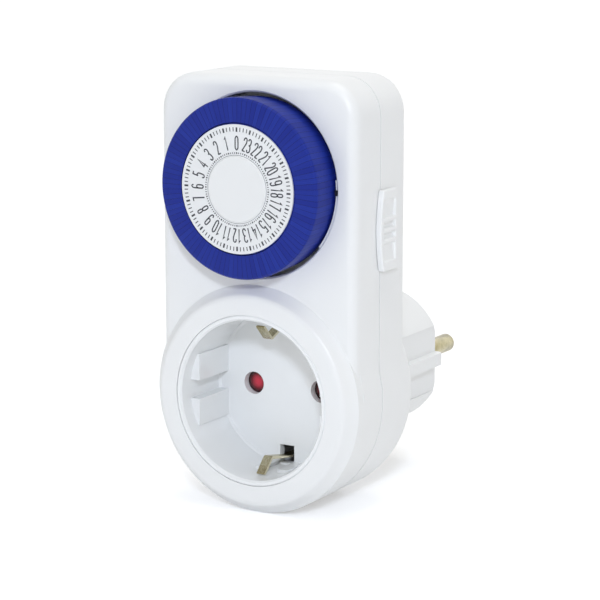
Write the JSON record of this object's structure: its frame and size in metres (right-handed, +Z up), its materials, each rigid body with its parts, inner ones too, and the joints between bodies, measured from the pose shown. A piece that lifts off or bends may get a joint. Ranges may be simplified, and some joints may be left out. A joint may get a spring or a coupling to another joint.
{
  "type": "plug in timer switch",
  "caption": "Plug-in mechanical timer switch: white moulded housing with a round earthed socket below and a blue ring of push-in tappets round a white hour dial above.",
  "frame": {"origin": "centre of the plug's end face, the face that meets the wall socket", "axes": "+X to the right seen from the front, +Y towards the wall along the plug pins, +Z up"},
  "size_m": [0.0566, 0.091, 0.1053],
  "materials": {
    "housing_white": "satin white moulded polycarbonate",
    "insert_white": "satin white moulded plastic",
    "slide_white": "satin white moulded plastic",
    "number_white": "matt white printed plastic",
    "cap_white": "matt pale grey-white plastic",
    "dial_blue": "matt royal blue moulded plastic",
    "tappet_blue": "matt royal blue moulded plastic",
    "shutter_red": "glossy signal red plastic",
    "gear_acetal": "natural acetal",
    "pointer_black": "matt black",
    "pin_brass": "turned brass",
    "contact_brass": "pressed brass strip",
    "gear_brass": "cut brass",
    "bronze_leaf": "phosphor bronze spring strip",
    "plated_brass": "dull tin-plated brass",
    "plated_steel": "zinc-plated steel",
    "spring_steel": "bright spring wire",
    "copper_winding": "enamelled copper winding"
  },
  "bodies": {
    "housing": {"front_cover": "housing_white", "rear_cover": "housing_white", "socket_insert": "insert_white", "shutter_spring": "spring_steel", "socket_earth_clips": "plated_brass", "plug_earth_strap": "plated_brass", "plug_pin_live": "pin_brass", "plug_pin_neutral": "pin_brass", "live_socket_contact": "contact_brass", "neutral_socket_contact": "contact_brass", "live_feed_strip": "contact_brass", "fixed_contact": "contact_brass", "mechanism_plate": "plated_steel", "gear_arbors": "plated_steel", "motor_case": "plated_steel", "motor_coil": "copper_winding", "dial_screw": "plated_steel", "time_pointer": "pointer_black", "cover_screws": "plated_steel"},
    "dial": {"dial_carrier": "dial_blue", "number_disc": "number_white", "dial_cap": "cap_white"},
    "shutter": {"pin_shutter": "shutter_red"},
    "rotor_pinion": {"motor_pinion": "gear_brass"},
    "first_wheel": {"gear_first": "gear_acetal"},
    "second_wheel": {"gear_second": "gear_acetal"},
    "slip_wheel": {"clutch_wheel": "gear_acetal"},
    "dial_pinion": {"clutch_pinion": "gear_brass"},
    "lever": {"switch_lever": "gear_acetal"},
    "leaf": {"contact_spring": "bronze_leaf"},
    "slide": {"override_slide": "slide_white"},
    "set_00_to_02": {"tappets_00_to_02": "tappet_blue"},
    "set_02_to_04": {"tappets_02_to_04": "tappet_blue"},
    "set_04_to_06": {"tappets_04_to_06": "tappet_blue"},
    "set_06_to_08": {"tappets_06_to_08": "tappet_blue"},
    "set_08_to_10": {"tappets_08_to_10": "tappet_blue"},
    "set_10_to_12": {"tappets_10_to_12": "tappet_blue"},
    "set_12_to_14": {"tappets_12_to_14": "tappet_blue"},
    "set_14_to_16": {"tappets_14_to_16": "tappet_blue"},
    "set_16_to_18": {"tappets_16_to_18": "tappet_blue"},
    "set_18_to_20": {"tappets_18_to_20": "tappet_blue"},
    "set_20_to_22": {"tappets_20_to_22": "tappet_blue"},
    "set_22_to_24": {"tappets_22_to_24": "tappet_blue"}
  },
  "joints": [
    {"name": "dial_turn", "type": "hinge", "parent": "housing", "child": "dial", "pos_m": [0, -0.06, 0.0516], "axis": [0, 1, 0], "continuous": true},
    {"name": "dial_pinion_turn", "type": "hinge", "parent": "housing", "child": "dial_pinion", "pos_m": [0, -0.055, 0.0384], "axis": [0, 1, 0], "continuous": true},
    {"name": "first_wheel_turn", "type": "hinge", "parent": "housing", "child": "first_wheel", "pos_m": [-0.00627, -0.05, 0.05424], "axis": [0, 1, 0], "continuous": true},
    {"name": "rotor_turn", "type": "hinge", "parent": "housing", "child": "rotor_pinion", "pos_m": [0.00353, -0.05, 0.05424], "axis": [0, 1, 0], "continuous": true},
    {"name": "second_wheel_turn", "type": "hinge", "parent": "housing", "child": "second_wheel", "pos_m": [-0.00831, -0.052, 0.04466], "axis": [0, 1, 0], "continuous": true},
    {"name": "slip_wheel_turn", "type": "hinge", "parent": "housing", "child": "slip_wheel", "pos_m": [0, -0.053, 0.0384], "axis": [0, 1, 0], "continuous": true},
    {"name": "shutter_turn", "type": "hinge", "parent": "housing", "child": "shutter", "pos_m": [0, -0.046, 0], "axis": [0, 1, 0], "range_deg": [0, 35], "stiffness_Nm_per_rad": 0.004, "springref_deg": -14.32},
    {"name": "lever_swing", "type": "hinge", "parent": "housing", "child": "lever", "pos_m": [0.0171, -0.0515, 0.046], "axis": [-1, 0, 0], "range_deg": [0, 4.8], "stiffness_Nm_per_rad": 0.0005, "springref_deg": -2.86},
    {"name": "leaf_bend", "type": "hinge", "parent": "housing", "child": "leaf", "pos_m": [0.0171, -0.05257, 0.019], "axis": [1, 0, 0], "range_deg": [0, 5.62]},
    {"name": "slide_push", "type": "slide", "parent": "housing", "child": "slide", "axis": [0, 0, -1], "range_m": [0, 0.003]},
    {"name": "push_00_to_02", "type": "slide", "parent": "dial", "child": "set_00_to_02", "axis": [0, 1, 0], "range_m": [0, 0.0025]},
    {"name": "push_02_to_04", "type": "slide", "parent": "dial", "child": "set_02_to_04", "axis": [0, 1, 0], "range_m": [0, 0.0025]},
    {"name": "push_04_to_06", "type": "slide", "parent": "dial", "child": "set_04_to_06", "axis": [0, 1, 0], "range_m": [0, 0.0025]},
    {"name": "push_06_to_08", "type": "slide", "parent": "dial", "child": "set_06_to_08", "axis": [0, 1, 0], "range_m": [0, 0.0025]},
    {"name": "push_08_to_10", "type": "slide", "parent": "dial", "child": "set_08_to_10", "axis": [0, 1, 0], "range_m": [0, 0.0025]},
    {"name": "push_10_to_12", "type": "slide", "parent": "dial", "child": "set_10_to_12", "axis": [0, 1, 0], "range_m": [0, 0.0025]},
    {"name": "push_12_to_14", "type": "slide", "parent": "dial", "child": "set_12_to_14", "axis": [0, 1, 0], "range_m": [0, 0.0025]},
    {"name": "push_14_to_16", "type": "slide", "parent": "dial", "child": "set_14_to_16", "axis": [0, 1, 0], "range_m": [0, 0.0025]},
    {"name": "push_16_to_18", "type": "slide", "parent": "dial", "child": "set_16_to_18", "axis": [0, 1, 0], "range_m": [0, 0.0025]},
    {"name": "push_18_to_20", "type": "slide", "parent": "dial", "child": "set_18_to_20", "axis": [0, 1, 0], "range_m": [0, 0.0025]},
    {"name": "push_20_to_22", "type": "slide", "parent": "dial", "child": "set_20_to_22", "axis": [0, 1, 0], "range_m": [0, 0.0025]},
    {"name": "push_22_to_24", "type": "slide", "parent": "dial", "child": "set_22_to_24", "axis": [0, 1, 0], "range_m": [0, 0.0025]}
  ],
  "couplings": [
    {"joint": "dial_pinion_turn", "follows": "dial_turn", "ratio": 12},
    {"joint": "rotor_turn", "follows": "first_wheel_turn", "ratio": -6},
    {"joint": "second_wheel_turn", "follows": "first_wheel_turn", "ratio": -0.16667},
    {"joint": "slip_wheel_turn", "follows": "first_wheel_turn", "ratio": 0.05},
    {"joint": "leaf_bend", "follows": "lever_swing", "ratio": 1.1708}
  ]
}
